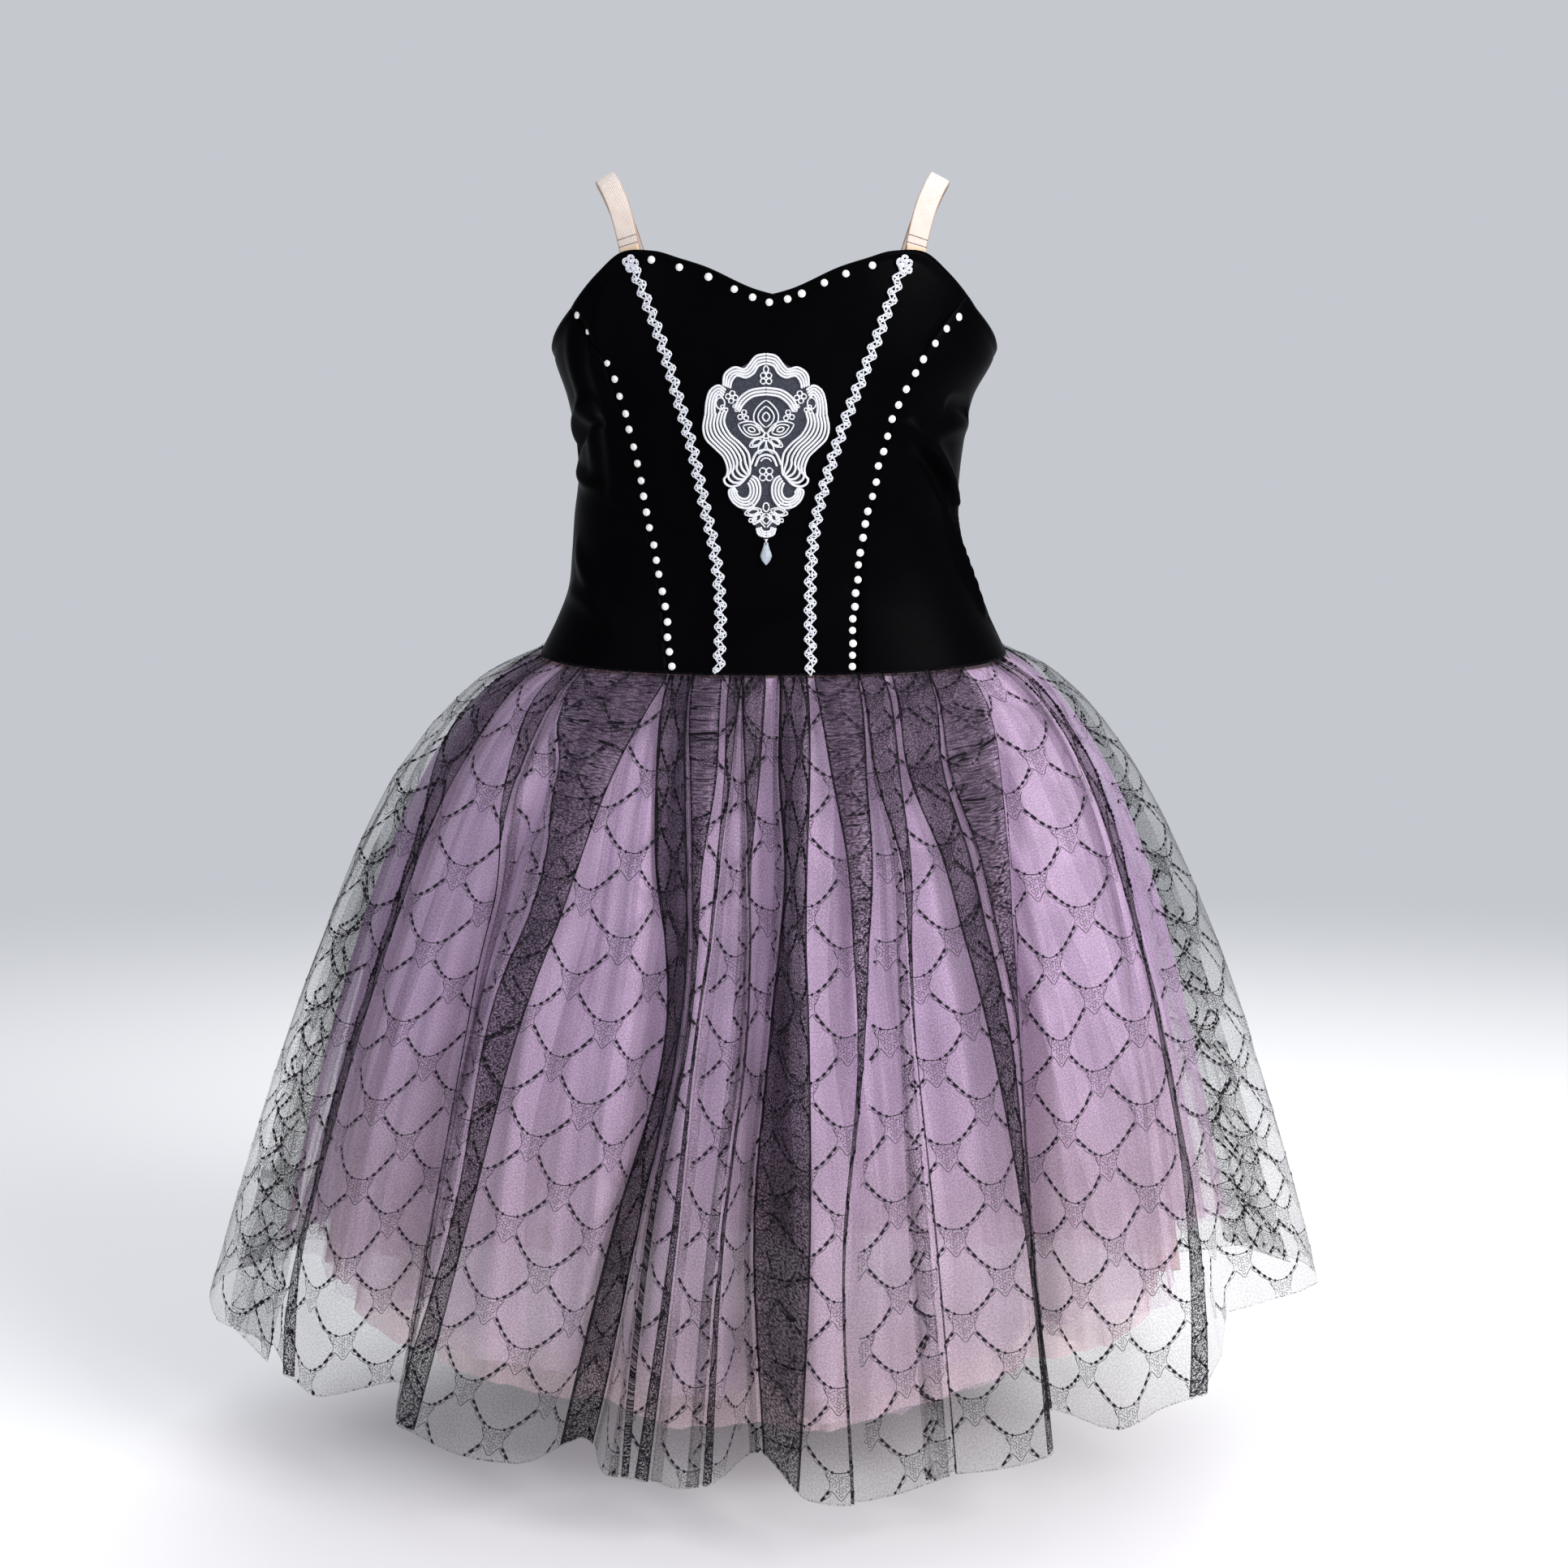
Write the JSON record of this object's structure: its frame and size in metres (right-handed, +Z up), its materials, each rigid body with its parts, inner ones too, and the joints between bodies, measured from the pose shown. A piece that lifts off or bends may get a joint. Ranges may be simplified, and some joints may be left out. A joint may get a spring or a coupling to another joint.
{
  "type": "child's ballet tutu dress",
  "caption": "Romantic-length ballet dress: velvet bodice on elastic straps, lace medallion with a crystal drop, gathered skirt of tulle under patterned net.",
  "frame": {"origin": "midway between the tops of the two shoulder straps, where the wearer's shoulders hold the dress", "axes": "+Z up, the front of the dress faces -Y, +X towards the right as seen from the front"},
  "size_m": [0.7369, 0.445, 0.7923],
  "materials": {
    "black_velvet": "short pile velvet, soft sheen",
    "nude_elastic": "satin plush elastic",
    "silver_braid": "looped metallic gimp braid",
    "white_lace": "corded lace on fine net",
    "ring_metal": "plated wire",
    "crystal": "cut and polished",
    "black_net": "fine net with knotted lattice lace lines",
    "lilac_tulle": "soft sheer tulle",
    "pink_tulle": "soft sheer tulle"
  },
  "bodies": {
    "dress": {"bodice_front": "black_velvet", "bodice_side_left": "black_velvet", "bodice_side_right": "black_velvet", "bodice_back": "black_velvet", "strap_left": "nude_elastic", "strap_right": "nude_elastic", "braid_left": "silver_braid", "braid_right": "silver_braid", "lace_medallion": "white_lace", "skirt_net_overlay": "black_net", "skirt_tulle_outer": "lilac_tulle", "skirt_tulle_middle": "lilac_tulle", "skirt_tulle_inner": "pink_tulle"},
    "ring": {"drop_ring": "ring_metal"},
    "drop": {"crystal_drop": "crystal"}
  },
  "joints": [
    {"name": "ring_sway", "type": "hinge", "parent": "dress", "child": "ring", "pos_m": [-0.00401, -0.08299, -0.2215], "axis": [0, 1, 0], "range_deg": [-60, 60]},
    {"name": "drop_lift", "type": "hinge", "parent": "ring", "child": "drop", "pos_m": [-0.00401, -0.08299, -0.22275], "axis": [-1, 0, 0], "range_deg": [0, 50]}
  ]
}
